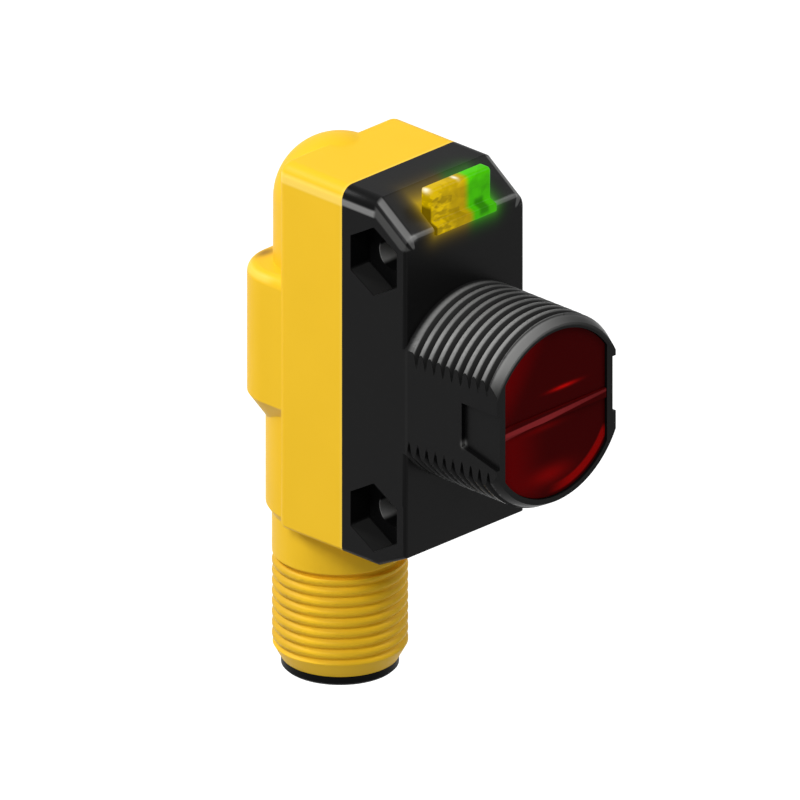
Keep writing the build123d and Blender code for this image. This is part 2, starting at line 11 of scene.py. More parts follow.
import bmesh
import bpy
import numpy as np
from mathutils import Matrix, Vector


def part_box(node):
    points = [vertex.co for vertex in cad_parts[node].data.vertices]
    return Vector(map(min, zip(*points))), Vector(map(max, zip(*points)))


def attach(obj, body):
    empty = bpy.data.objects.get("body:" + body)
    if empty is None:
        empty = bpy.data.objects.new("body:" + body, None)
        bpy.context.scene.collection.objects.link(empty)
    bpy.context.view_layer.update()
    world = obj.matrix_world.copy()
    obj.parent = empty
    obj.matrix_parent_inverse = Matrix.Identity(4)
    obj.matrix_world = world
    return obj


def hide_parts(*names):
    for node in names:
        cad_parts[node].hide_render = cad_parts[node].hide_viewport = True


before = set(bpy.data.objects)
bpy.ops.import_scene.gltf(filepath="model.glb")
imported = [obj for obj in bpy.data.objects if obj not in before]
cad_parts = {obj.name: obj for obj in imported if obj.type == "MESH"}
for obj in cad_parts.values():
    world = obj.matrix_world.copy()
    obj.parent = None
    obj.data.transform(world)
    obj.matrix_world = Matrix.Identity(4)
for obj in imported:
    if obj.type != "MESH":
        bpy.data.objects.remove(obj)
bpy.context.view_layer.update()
MM = 0.001
ROOT = "root"
print("nodes:", len(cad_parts))

# %% [markdown]
# ## Where things are
# Threads and painted patterns sit on one place of the housing, so its planes are needed
# here, in millimetres. Most of them are read from the boxes of the solids; only the
# sizes that no box tells, such as the front face behind the barrel, are written again.

# %% Planes and radii of the housing
def corner(node, which):
    """Lowest (0) or highest (1) corner of a node's box, in millimetres."""
    return np.array(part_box(node)[which]) / MM


TIP_Y = corner("front_cover", 0)[1]
JOINT_Y = corner("front_cover", 1)[1]
TOP_Z = corner("front_cover", 1)[2]
HALF_WIDTH = corner("front_cover", 1)[0]
LENS_R = corner("front_lens", 1)[2]
WINDOW_X = corner("indicator_window", 1)[0]
WINDOW_TOP = corner("indicator_window", 1)[2]
WINDOW_LOW = corner("indicator_window", 0)[2]
CONNECTOR_Y = (corner("connector_insert", 0)[1] + corner("connector_insert", 1)[1]) / 2
COVER_DEPTH = 7.8
FRONT_Y = JOINT_Y - COVER_DEPTH
BROW_DROP = 2.75
BROW_DEPTH = 3.9
BROW_Z = TOP_Z - BROW_DROP
SHOULDER_ROUND = 1.3
HOLE_Z = 12.3
BARREL_R = 9.0
NECK_R = 6.0
NECK_THREAD_START = 21.0
NECK_THREAD_END = 29.9
COLLAR_SOLID_BELOW_TOP = 10.65
COLLAR_BELOW_TOP = 11.4
COLLAR_EDGE_ROUND = 1.05
COLLAR_Y = 12.3
print("front face at y", round(FRONT_Y, 2), "and barrel tip at y", round(TIP_Y, 2))

# %% [markdown]
# ## The camera
# The photograph was taken from the front left and a little above, with hardly any
# perspective, so the camera is orthographic. Its place is worked out from one known point
# of the object and the pixel where that point lies in the picture.

# %% Camera
AZIMUTH = math.radians(-45.68)
ELEVATION = math.radians(23.9)
PIXELS_PER_MM = 11.38
IMAGE_SIDE = 800
KNOWN_POINT = np.array([0.0, -3.87, -0.3])
KNOWN_PIXEL = np.array([464.8, 380.5])
CAMERA_DISTANCE = 300.0

back = np.array([
    math.sin(AZIMUTH) * math.cos(ELEVATION),
    -math.cos(AZIMUTH) * math.cos(ELEVATION),
    math.sin(ELEVATION),
])
right = np.array([math.cos(AZIMUTH), math.sin(AZIMUTH), 0.0])
up = np.cross(back, right)
offset = (IMAGE_SIDE / 2 - KNOWN_PIXEL) / PIXELS_PER_MM
target = KNOWN_POINT + right * offset[0] - up * offset[1]

camera_data = bpy.data.cameras.new("camera")
camera_data.type = "ORTHO"
camera_data.ortho_scale = IMAGE_SIDE / PIXELS_PER_MM * MM
camera_data.clip_start = 0.001
camera_data.clip_end = 10.0
camera = bpy.data.objects.new("camera", camera_data)
bpy.context.scene.collection.objects.link(camera)


def placed(columns, at):
    """Matrix that turns an object's X, Y and Z to three directions and puts it at a point."""
    rows = np.eye(4)
    rows[:3, :3] = np.column_stack(columns)
    rows[:3, 3] = np.array(at) * MM
    return Matrix(rows.tolist())


camera.matrix_world = placed([right, up, back], target + back * CAMERA_DISTANCE)
bpy.context.scene.camera = camera
print("camera aims at", target.round(2), "mm")

# %% [markdown]
# ## Shader maths as plain expressions
# A material is a network of nodes. Wiring it by hand hides the idea, so one small class
# wraps an output socket, and adding or multiplying two of them adds the Math node that
# does it. A second class holds a material and has the one method that adds any node.

# %% Wire and Paint
class Wire:
    """One output socket. Arithmetic on wires and numbers adds Math nodes."""

    def __init__(self, paint, socket):
        self.paint = paint
        self.socket = socket

    def math(self, operation, *others):
        return self.paint.node("ShaderNodeMath", {"operation": operation}, [self, *others])

    def flipped(self, operation, other):
        return self.paint.node("ShaderNodeMath", {"operation": operation}, [other, self])

    def __add__(self, other):
        return self.math("ADD", other)

    def __sub__(self, other):
        return self.math("SUBTRACT", other)

    def __rsub__(self, other):
        return self.flipped("SUBTRACT", other)

    def __mul__(self, other):
        return self.math("MULTIPLY", other)

    def __truediv__(self, other):
        return self.math("DIVIDE", other)

    def __rtruediv__(self, other):
        return self.flipped("DIVIDE", other)

    __radd__ = __add__
    __rmul__ = __mul__


class Paint:
    """A material, its object coordinates in millimetres and a way to add any node."""

    def __init__(self, name):
        self.material = bpy.data.materials.new(name)
        self.material.use_nodes = True
        self.tree = self.material.node_tree
        self.tree.nodes.clear()
        place = self.node("ShaderNodeTexCoord", output="Object")
        self.place = self.node(
            "ShaderNodeVectorMath", {"operation": "SCALE"}, {"Vector": place, "Scale": 1 / MM}
        )
        split = self.node("ShaderNodeSeparateXYZ", None, [self.place])
        self.x, self.y, self.z = [Wire(self, end) for end in split.socket.node.outputs]

    def node(self, kind, settings=None, values=(), output=0):
        made = self.tree.nodes.new(kind)
        for key, value in (settings or {}).items():
            if key == "stops":
                ramp = made.color_ramp
                while len(ramp.elements) < len(value):
                    ramp.elements.new(1.0)
                for element, (at, color) in zip(ramp.elements, value):
                    element.position = at
                    element.color = (*color, 1.0)
            else:
                setattr(made, key, value)
        pairs = values.items() if isinstance(values, dict) else enumerate(values)
        for key, value in pairs:
            if isinstance(value, Wire):
                self.tree.links.new(value.socket, made.inputs[key])
            else:
                made.inputs[key].default_value = value
        return Wire(self, made.outputs[output]) if made.outputs else made

    def color(self, rgb):
        return (*rgb, 1.0)

    def mix(self, amount, first, second):
        """Blend two colours: first where amount is 0, second where it is 1."""
        first = first if isinstance(first, Wire) else self.color(first)
        second = second if isinstance(second, Wire) else self.color(second)
        return self.node(
            "ShaderNodeMix", {"data_type": "RGBA"}, {0: amount, 6: first, 7: second}, output=2
        )

    def noise(self, size, detail=2.0, vector=None):
        """Noise around 0.5 whose spots are about size millimetres across."""
        return self.node(
            "ShaderNodeTexNoise",
            None,
            {"Vector": vector or self.place, "Scale": 1 / size, "Detail": detail},
        )

    def step(self, value, low, high):
        """A soft step: 0 below low, 1 above high, smooth between them."""
        return self.node(
            "ShaderNodeMapRange",
            {"interpolation_type": "SMOOTHSTEP"},
            {"Value": value, "From Min": low, "From Max": high},
        )

    def spot(self, centre, half_size):
        """A soft bell at centre: exp(-d * d), d the distance over the half sizes.

        A half size of None leaves its axis out.
        """
        total = None
        for axis, middle, half in zip((self.x, self.y, self.z), centre, half_size):
            if half is None:
                continue
            term = ((axis - middle) / half).math("POWER", 2.0)
            total = term if total is None else total + term
        return (total * -1.0).math("EXPONENT")

    def band(self, value, rise, top, fall, low):
        """A soft band: 0 up to rise, 1 from top to fall, 0 again from low on."""
        return self.step(value, rise, top) * (1.0 - self.step(value, fall, low))

    def bump(self, height, depth):
        """Turn a height pattern into a normal; depth is in millimetres."""
        return self.node("ShaderNodeBump", None, {"Height": height, "Distance": depth * MM})

    def finish(self, base, roughness, **extra):
        """Close the material with one glossy shader."""
        values = {"Base Color": base, "Roughness": roughness}
        values.update({key.replace("_", " "): value for key, value in extra.items()})
        shader = self.node("ShaderNodeBsdfPrincipled", None, values)
        self.node("ShaderNodeOutputMaterial", None, {"Surface": shader})
        return self.material


print("ready to paint")

# %% [markdown]
# ## Yellow moulded plastic
# The shell is a satin thermoplastic. Its colour hardly varies, but a real moulding has a
# very fine grain from the tool, which softens its reflections, and slow waves where the
# plastic shrank. Two noises, one fine and one broad, give both. Lighter bands are painted
# where an edge catches the light: on the shoulders, along the joint and round the
# collar's ledge. A brown patch on the ledge and a browner left side of the neck's thread
# stand for the shade that the photograph shows there.

# %% Yellow plastic
YELLOW = (0.93, 0.565, 0.022)
YELLOW_DEEP = (0.88, 0.53, 0.017)
YELLOW_HIGHLIGHT = (1.0, 0.69, 0.11)
YELLOW_SHADED = (0.30, 0.17, 0.03)
SHADE_ON_LEDGE = (-3.8, 16.9, TOP_Z - COLLAR_BELOW_TOP)
DIAGONAL = 0.707
GRAIN_DEPTH = 0.004


def moulded(paint, first, second):
    """Give the colour, roughness and normal of a moulded plastic in two close tones."""
    grain = paint.noise(0.12, 3.0)
    waves = paint.noise(6.0, 1.0)
    tone = paint.mix(waves, first, second)
    height = grain * 0.7 + waves * 0.3
    return tone, grain * 0.16, paint.bump(height, GRAIN_DEPTH)


paint = Paint("yellow_moulding")
tone, rough, normal = moulded(paint, YELLOW, YELLOW_DEEP)
# Painted highlights: lighter bands on the shoulders, along the joint and round the collar's
# ledge, where the edges catch the light.
shoulder = paint.step(paint.x.math("ABSOLUTE"), HALF_WIDTH - 0.6, HALF_WIDTH - 0.3)
shoulder = shoulder * paint.band(paint.z - TOP_Z, -1.95, -1.65, -1.05, -0.7)
joint_edge = (1.0 - paint.step(paint.y - JOINT_Y, 0.12, 0.36)) * 0.35
collar_z = paint.z - (TOP_Z - COLLAR_BELOW_TOP)
collar_edge = paint.step(paint.y, COLLAR_Y, COLLAR_Y + 1.5)
collar_edge = collar_edge * paint.band(collar_z, -0.95, -0.6, -0.35, -0.1) * 0.6
painted_light = (shoulder + joint_edge + collar_edge).math("MINIMUM", 1.0)
# Painted shade: a brown patch on the collar's ledge and a browner left side of the neck's thread.
ledge_shade = paint.spot(SHADE_ON_LEDGE, (1.3, 0.6, 0.35))
thread_left = paint.step((paint.y - CONNECTOR_Y - paint.x) * DIAGONAL, 2.5, 5.0)
thread_left = thread_left * paint.band(
    paint.z,
    -NECK_THREAD_END,
    0.4 - NECK_THREAD_END,
    -0.6 - NECK_THREAD_START,
    -0.3 - NECK_THREAD_START,
)
shade = (ledge_shade * 0.9 + thread_left * 0.3).math("MINIMUM", 1.0)
highlighted_tone = paint.mix(painted_light, tone, YELLOW_HIGHLIGHT)
yellow_moulding = paint.finish(
    paint.mix(shade, highlighted_tone, YELLOW_SHADED),
    rough + 0.38,
    Normal=normal,
    Specular_IOR_Level=0.12,
)
print("made", yellow_moulding.name)

# %% [markdown]
# ## Black moulded plastic, with painted highlights on its edges and the lamps' glow painted on it
# The cover is the same kind of plastic in black. Its outer edges catch the light, most of
# all the crests of the barrel's thread and the rounded sides of the brow, and these
# highlights are painted in a lighter grey, so they stay where they are when a lamp moves.
# Light on the brow's face, the front face, the holes, the nut pockets and the keyway is
# painted too. Every one of these places has a plain formula. The angle round a rounded
# edge, for example, is the arc tangent of how far a point lies out and how far it lies up,
# and a sum such as 0.6 z less 0.8 x says how far a point lies towards one slanting
# direction.

# %% Black plastic: painted highlights on the edges
BLACK = (0.0036, 0.0036, 0.0038)
BLACK_WORN = (0.0048, 0.0048, 0.0048)
BLACK_HIGHLIGHT = (0.27, 0.27, 0.265)
CREST_R = 8.9
HOLE_R = 1.65

paint = Paint("black_moulding")
tone, rough, normal = moulded(paint, BLACK, BLACK_WORN)
x, y, z = paint.x, paint.y, paint.z

slope = math.atan2(BROW_DROP, BROW_DEPTH)
over_brow = (z - BROW_Z) * math.cos(slope) - (y - FRONT_Y) * math.sin(slope)
roof = over_brow.math("MAXIMUM", z - TOP_Z)
outwards = x.math("ABSOLUTE") - (HALF_WIDTH - SHOULDER_ROUND)
turn = outwards.math("ARCTAN2", roof + SHOULDER_ROUND)
on_cover = paint.step(y, FRONT_Y - 0.3, FRONT_Y - 0.2)
on_cover = on_cover * paint.step(z, BROW_Z - 1.2, BROW_Z - 0.9)
on_top = paint.step(y, FRONT_Y + BROW_DEPTH - 0.25, FRONT_Y + BROW_DEPTH + 0.15)
side = paint.step(x.math("ABSOLUTE"), HALF_WIDTH - 0.5, HALF_WIDTH - 0.3)
# Painted highlights: bands along the shoulders and round the brow's rounded sides.
shoulder = side * paint.band(z - TOP_Z, -1.8, -1.55, -1.2, -0.95) * on_top * 0.75
brow_inner = paint.band(turn, 0.16, 0.3, 0.64, 0.78) * 0.55
brow_outer = paint.band(turn, 0.9, 1.04, 1.4, 1.6) * 0.2
rounded = (shoulder + (brow_inner + brow_outer) * (1.0 - on_top)) * on_cover
# A painted highlight along the brow's lower edge and a painted glint at its left corner.
brow_line = paint.band(over_brow + (FRONT_Y - y) * 0.6, -0.22, -0.1, 0.02, 0.1)
brow_line = brow_line * paint.step(FRONT_Y + 0.35 - y, 0.0, 0.2) * on_cover * 0.5
brow_tip = paint.spot((-6.4, FRONT_Y, BROW_Z - 0.1), (0.32, 0.4, 0.25))
# Painted light: the brow's face and the front face are painted a little lighter.
brow_face = paint.step(over_brow, -0.5, -0.2) * (1.0 - on_top) * on_cover * 0.05
front_face = (1.0 - paint.step(y - FRONT_Y, 0.03, 0.1)) * paint.step(y - FRONT_Y, -0.3, -0.2)
front_face = front_face * 0.016
print("the brow slopes by", round(math.degrees(slope), 1), "degrees")

# %% Black plastic: thread, holes and keyway
# Painted highlights: the thread's crests and the rim at the tip are lighter, most towards the
# upper left, where the light comes from.
radius = (x * x + z * z).math("SQRT")
on_crest = paint.step(radius, CREST_R - 0.03, CREST_R + 0.08) * 0.8 + 0.16
on_crest = on_crest * paint.step(radius, 8.1, 8.3)
on_rim = (1.0 - paint.step(y - TIP_Y, 0.7, 0.9)) * paint.step(z, 2.0, 6.0) * 0.85
on_thread = on_crest.math("MAXIMUM", on_rim * paint.step(radius, 8.05, 8.3))
on_thread = on_thread * (1.0 - paint.step(y - FRONT_Y, -0.75, -0.2))
on_flat = paint.step(x.math("ABSOLUTE"), HALF_WIDTH - 0.06, HALF_WIDTH - 0.01)
on_thread = on_thread * (1.0 - on_flat)
towards_left = paint.step(z * 0.6 - x * 0.8, -1.0, 9.0)
crest = on_thread * paint.step(z, 2.5, 7.0) * (towards_left * towards_left * 0.85 + 0.15)
# Painted light: a lighter crescent low in each hole, one lighter wall in each nut pocket and a
# painted highlight in the keyway.
hole_z = z - z.math("SIGN") * HOLE_Z
from_hole = (y * y + hole_z * hole_z).math("SQRT")
in_hole = 1.0 - paint.step(from_hole, HOLE_R + 0.05, HOLE_R + 0.15)
hole = in_hole * paint.band(hole_z, -1.35, -1.0, 0.2, 0.55) * 0.75
in_pocket = 1.0 - paint.step(from_hole, 3.3, 3.4)
in_pocket = in_pocket * paint.band(x, -7.48, -7.4, -5.2, -5.1)
pocket_wall = in_pocket * paint.step(y * 0.5 - hole_z * 0.866, 2.6, 2.8) * 0.06
keyway_spot = paint.spot((-HALF_WIDTH, TIP_Y + 4.2, -1.9), (0.8, 0.2, 0.28)) * 0.6
painted_light = rounded + brow_line + brow_tip + brow_face + front_face + crest
painted_light = painted_light + hole + pocket_wall + keyway_spot
painted_light = painted_light.math("MINIMUM", 1.0)
print("thread crests lie beyond", CREST_R, "mm from the barrel's axis")

# %% [markdown]
# The lit window's light on the brow around it is painted as a halo that the cover gives
# off itself: amber on its left half and green on its right. The halo falls off with the
# distance to the window's box, worked out from the place on the object, so it stays there
# in every view.

# %% Black plastic: the halo
AMBER_GLOW = (0.42, 0.27, 0.0)
GREEN_GLOW = (0.06, 0.44, 0.0)
HALF_MEETING_X = 0.7
WINDOW_Y = FRONT_Y + 0.9


def window_tint(paint, left, right, blur=0.9):
    """Colour left of where the two lamps' light meets, and right of it."""
    side = paint.step(paint.x, HALF_MEETING_X - blur, HALF_MEETING_X + blur)
    return paint.mix(side, left, right)


gap_x = (x.math("ABSOLUTE") - (WINDOW_X - 0.2)).math("MAXIMUM", 0.0)
gap_y = (y - (WINDOW_Y + 1.5)).math("MAXIMUM", 0.0) * 0.65
gap_z = ((WINDOW_LOW + 0.3) - z).math("MAXIMUM", 0.0)
distance = (gap_x * gap_x + gap_y * gap_y + gap_z * gap_z).math("SQRT")
halo = (distance * -2.2).math("EXPONENT") * (1.0 - paint.step(distance, 1.2, 3.6))
black_moulding = paint.finish(
    paint.mix(painted_light, tone, BLACK_HIGHLIGHT),
    rough + 0.26,
    Normal=normal,
    Specular_IOR_Level=0.06,
    Emission_Color=paint.mix(halo, (0.0, 0.0, 0.0), window_tint(paint, AMBER_GLOW, GREEN_GLOW)),
    Emission_Strength=1.0,
)
print("made", black_moulding.name)

# %% [markdown]
# ## The red lens
# A receiver's lens is dyed dark red, so that only its own lamp's colour gets in. Behind
# the flat front lie a convex back and a black tube, and a little light finds its way
# round them: a thin streak in the upper half, a soft patch low down and a bright arc near
# the lower right rim. A real dyed block would need many light bounces, so the depth is
# painted as soft bells on the front, and the surface itself stays polished.

# %% Red lens
LENS_DARK = (0.072, 0.0016, 0.002)
LENS_LIT = (0.27, 0.001, 0.002)
LENS_BRIGHT = (0.62, 0.004, 0.003)
LENS_BAR = (0.36, 0.032, 0.036)

paint = Paint("dyed_lens")
x, z = paint.x, paint.z
radius = (x * x + z * z).math("SQRT")
# Painted light: the lens is lighter red towards its upper left and its lower left.
upper_left = paint.step(z * 0.55 - x * 0.83, 4.2, 8.2) * 0.8
lower_left = paint.step(x * -1.0, 0.5, 6.0) * (1.0 - paint.step(z, -1.2, -0.2)) * 0.55
low_patch = paint.spot((-0.6, 0, -5.7), (2.3, None, 0.8)) * 0.24
under_bar = paint.spot((-1.3, 0, -1.0), (2.2, None, 0.3)) * 0.12
streak = paint.spot((1.2, 0, 2.2), (1.5, None, 0.17)) * 0.8
arc_line = paint.band(radius, LENS_R - 1.2, LENS_R - 0.9, LENS_R - 0.4, LENS_R - 0.15)
arc_span = paint.step(x * 0.8 - z * 0.6, 3.4, 6.0)
arc = arc_line * arc_span * (1.0 - paint.step(z, -3.6, -2.8)) * 0.34
bright = (low_patch + under_bar + streak + arc).math("MINIMUM", 1.0)
bar_middle = x * 0.055 - 0.08
bar_half = 0.26 - x * 0.02
bar = 1.0 - paint.step((z - bar_middle).math("ABSOLUTE") - bar_half, -0.06, 0.06)
bar = bar * (1.0 - paint.step(x, -2.0, 7.0) * 0.5)
lens_color = paint.mix((upper_left + lower_left).math("MINIMUM", 1.0), LENS_DARK, LENS_LIT)
lens_color = paint.mix(bright, lens_color, LENS_BRIGHT)
lens_color = paint.mix(bar, lens_color, LENS_BAR)
dyed_lens = paint.finish(
    lens_color,
    paint.noise(0.5) * 0.05 + 0.1,
    Specular_IOR_Level=0.004,
    # The painted light inside the lens also glows a little.
    Emission_Color=paint.mix(bright, (0.0, 0.0, 0.0), LENS_BRIGHT),
    Emission_Strength=0.3,
)
print("made", dyed_lens.name)

# %% [markdown]
# ## The lit window
# Clear plastic carries the light of two small lamps up to the brow. Its left half glows
# amber and its right half green. Light pipes look uneven, because their facets catch the
# lamps at different angles. Cells of a Voronoi pattern, stretched and turned, stand for
# the facets, each with a brightness of its own, and two corners sparkle where a facet
# sends a lamp's light straight out.

# %% Lit window
AMBER_DEEP = (0.11, 0.065, 0.0)
AMBER_LIT = (0.66, 0.44, 0.0)
GREEN_DEEP = (0.01, 0.14, 0.0)
GREEN_LIT = (0.07, 0.62, 0.0)
SPARKLE = (1.0, 0.96, 0.75)

paint = Paint("lit_window")
x, y, z = paint.x, paint.y, paint.z
turned = paint.node(
    "ShaderNodeMapping",
    None,
    {"Vector": paint.place, "Rotation": (0.0, 0.5, 0.0), "Scale": (0.55, 0.5, 1.1)},
)
cells = paint.node("ShaderNodeTexVoronoi", None, {"Vector": turned, "Scale": 1.0}, output=1)
cell_light = paint.node("ShaderNodeSeparateColor", None, [cells])
soft = paint.noise(0.8, 2.0)
top_edge = paint.step(z, WINDOW_TOP - 1.0, WINDOW_TOP - 0.1) * 0.3
# Painted shade: the window's lower left corner is dark, and one cell's glow is painted weaker.
dark_cell = paint.band(x, 1.4, 1.9, 2.5, 3.0) * paint.band(z, 14.9, 15.4, 16.2, 16.7)
wedge = (1.0 - paint.step(x, -3.78, -3.62)) * (1.0 - paint.step(z, 17.0, 17.6))
streaks = paint.step(paint.noise(0.5, 1.0, turned), 0.42, 0.6) * (1.0 - paint.step(x, -2.6, -0.6))
light = cell_light * 0.25 + soft * 0.4 + streaks * 0.4 + top_edge + 0.17
light = light.math("MINIMUM", 1.0) * (1.0 - dark_cell * 0.8) * (1.0 - wedge * 0.95)
glow = paint.mix(
    light,
    window_tint(paint, AMBER_DEEP, GREEN_DEEP, 0.5),
    window_tint(paint, AMBER_LIT, GREEN_LIT, 0.5),
)
sparkle = paint.spot((-3.7, -2.7, 18.85), (0.24, 0.4, 0.26))
sparkle = (sparkle + paint.spot((-0.15, -2.7, 18.85), (0.2, 0.4, 0.26))).math("MINIMUM", 1.0)
lit_window = paint.finish(
    paint.mix(0.9, glow, (0.01, 0.01, 0.0)),
    soft * 0.1 + 0.1,
    Specular_IOR_Level=0.03,
    Emission_Color=paint.mix(sparkle, glow, SPARKLE),
    Emission_Strength=1.0,
)
print("made", lit_window.name)

# %% [markdown]
# ## Everything inside and underneath
# The boards, chips, seals and pins are hidden in the closed housing, but a part that is
# taken apart should still look right. One short table gives each finish its two tones,
# its roughness, whether it is metal, how large its spots are and how strongly it
# reflects. The connector's insert lies in deep shade, so it hardly reflects anything.

# %% Plain finishes
PLAIN_FINISHES = {
    "insert_moulding": ((0.002, 0.002, 0.002), (0.003, 0.003, 0.003), 0.34, 0.0, 0.15, 0.04),
    "seal_rubber": ((0.012, 0.012, 0.012), (0.02, 0.02, 0.02), 0.7, 0.0, 0.1, 0.4),
    "holder_moulding": ((0.008, 0.008, 0.008), (0.012, 0.012, 0.012), 0.75, 0.0, 0.15, 0.4),
    "blackened_sheet": ((0.02, 0.02, 0.02), (0.035, 0.035, 0.035), 0.5, 1.0, 0.2, 0.4),
    "tinned_sheet": ((0.6, 0.6, 0.58), (0.68, 0.68, 0.67), 0.3, 1.0, 0.3, 0.4),
    "detector_resin": ((0.02, 0.012, 0.016), (0.03, 0.02, 0.025), 0.15, 0.0, 0.4, 0.4),
    "lacquered_board": ((0.006, 0.09, 0.03), (0.01, 0.13, 0.045), 0.35, 0.0, 0.5, 0.4),
    "green_lamp": ((0.06, 0.5, 0.03), (0.1, 0.7, 0.06), 0.2, 0.0, 0.3, 0.4),
    "amber_lamp": ((0.7, 0.35, 0.01), (0.9, 0.5, 0.03), 0.2, 0.0, 0.3, 0.4),
    "chip_moulding": ((0.012, 0.012, 0.013), (0.022, 0.022, 0.024), 0.55, 0.0, 0.2, 0.4),
    "capacitor_ceramic": ((0.26, 0.15, 0.07), (0.36, 0.22, 0.11), 0.5, 0.0, 0.2, 0.4),
    "pin_metal": ((0.78, 0.56, 0.2), (0.86, 0.66, 0.28), 0.22, 1.0, 0.2, 0.4),
    "cast_resin": ((0.03, 0.026, 0.022), (0.05, 0.045, 0.04), 0.25, 0.0, 0.8, 0.4),
}
finishes = {}
for finish_name, row in PLAIN_FINISHES.items():
    first, second, roughness, metal, spot_size, reflects = row
    paint = Paint(finish_name)
    spots = paint.noise(spot_size, 3.0)
    finishes[finish_name] = paint.finish(
        paint.mix(spots, first, second),
        spots * 0.15 + roughness,
        Metallic=metal,
        Normal=paint.bump(spots, 0.003),
        Specular_IOR_Level=reflects,
    )
print("finishes:", ", ".join(sorted(finishes)))

# %% Which node wears which finish
WEARS = {
    "connector_insert": "insert_moulding",
    "cover_gasket": "seal_rubber",
    "lens_gasket": "seal_rubber",
    "insert_o_ring": "seal_rubber",
    "optics_holder": "holder_moulding",
    "aperture_plate": "blackened_sheet",
    "detector_shield": "tinned_sheet",
    "photodiode": "detector_resin",
    "main_board": "lacquered_board",
    "connector_board": "lacquered_board",
    "green_led": "green_lamp",
    "amber_led": "amber_lamp",
    "signal_chip": "chip_moulding",
    "output_transistors": "chip_moulding",
    "protection_diodes": "chip_moulding",
    "board_resistors": "chip_moulding",
    "board_link": "chip_moulding",
    "board_capacitors": "capacitor_ceramic",
    "link_pins": "pin_metal",
    "contact_pin_1": "pin_metal",
    "contact_pin_2": "pin_metal",
    "contact_pin_3": "pin_metal",
    "contact_pin_4": "pin_metal",
    "potting_resin": "cast_resin",
}


def wear(node, material):
    """Give a CAD node's object one material, and leave its mesh alone."""
    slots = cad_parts[node].material_slots
    for one in slots:
        one.link = "OBJECT"
        one.material = material


for node_name, finish_name in WEARS.items():
    wear(node_name, finishes[finish_name])
wear("front_lens", dyed_lens)
print("dressed", len(WEARS) + 1, "nodes")

# %% [markdown]
# ## Copying a solid to give it soft edges
# A CAD edge is perfectly sharp and catches no light. Every edge of a moulding has a small
# radius, and that is where a black part shows its shape. So a copy of the solid's mesh is
# welded, its flat areas are joined into single faces, and a Bevel modifier rounds every
# edge that turns by more than 30 degrees.

# %% Soft-edged copies
SHARP = math.radians(30)
FLAT = math.radians(0.2)
WELD = 1e-6
EDGE_ROUND = 0.16
WINDOW_EDGE_ROUND = 0.22


def welded_copy(node, name):
    """Copy a CAD node's mesh as one closed surface with large flat faces."""
    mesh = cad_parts[node].data.copy()
    mesh.name = name
    work = bmesh.new()
    work.from_mesh(mesh)
    bmesh.ops.remove_doubles(work, verts=work.verts, dist=WELD)
    bmesh.ops.dissolve_limit(work, angle_limit=FLAT, verts=work.verts, edges=work.edges)
    work.to_mesh(mesh)
    work.free()
    mesh.materials.clear()
    piece = bpy.data.objects.new(name, mesh)
    bpy.context.scene.collection.objects.link(piece)
    return piece


def settled(piece):
    """Replace a piece's mesh by what its modifiers make of it."""
    graph = bpy.context.evaluated_depsgraph_get()
    mesh = bpy.data.meshes.new_from_object(piece.evaluated_get(graph))
    mesh.name = piece.name
    piece.modifiers.clear()
    piece.data = mesh
    return piece


def soften(piece, width, segments=2):
    """Round a piece's sharp edges by width millimetres."""
    bevel = piece.modifiers.new("soft_edges", "BEVEL")
    bevel.width = width * MM
    bevel.segments = segments
    bevel.limit_method = "ANGLE"
    bevel.angle_limit = SHARP
    bevel.use_clamp_overlap = True
    return settled(piece)


def dressed(piece, material, body, slot, *nodes):
    """Finish a piece: smooth faces, sharp creases kept, material and body. The slot is not used.
    """
    piece.data.materials.clear()
    piece.data.materials.append(material)
    piece.data.shade_smooth()
    piece.data.set_sharp_from_angle(angle=SHARP)
    weighted = piece.modifiers.new("flat_areas_flat", "WEIGHTED_NORMAL")
    weighted.keep_sharp = True
    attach(piece, body)
    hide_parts(*nodes)
    print(piece.name, "has", len(piece.data.polygons), "faces")


print("sharp edges are those over", round(math.degrees(SHARP)), "degrees")

# %% [markdown]
# ## Cutting a thread
# A thread is a groove that winds round a cylinder and moves along by one pitch each turn.
# It could be drawn as rings, but rings never meet and a real thread does run out at its
# ends. So a cutter is swept along a helix and taken away from the moulding: its section
# has soft shoulders, which leaves the rounded crests of a moulded thread.

# %% Helical cutter
GROOVE_SECTION = [
    (-0.44, 0.35),
    (-0.44, 0.0),
    (-0.30, -0.07),
    (-0.21, -0.20),
    (-0.13, -0.40),
    (-0.05, -0.52),
    (0.05, -0.52),
    (0.13, -0.40),
    (0.21, -0.20),
    (0.30, -0.07),
    (0.44, 0.0),
    (0.44, 0.35),
]
STEPS_PER_TURN = 96
LIFT = 0.65
LIFT_TURNS = 0.17


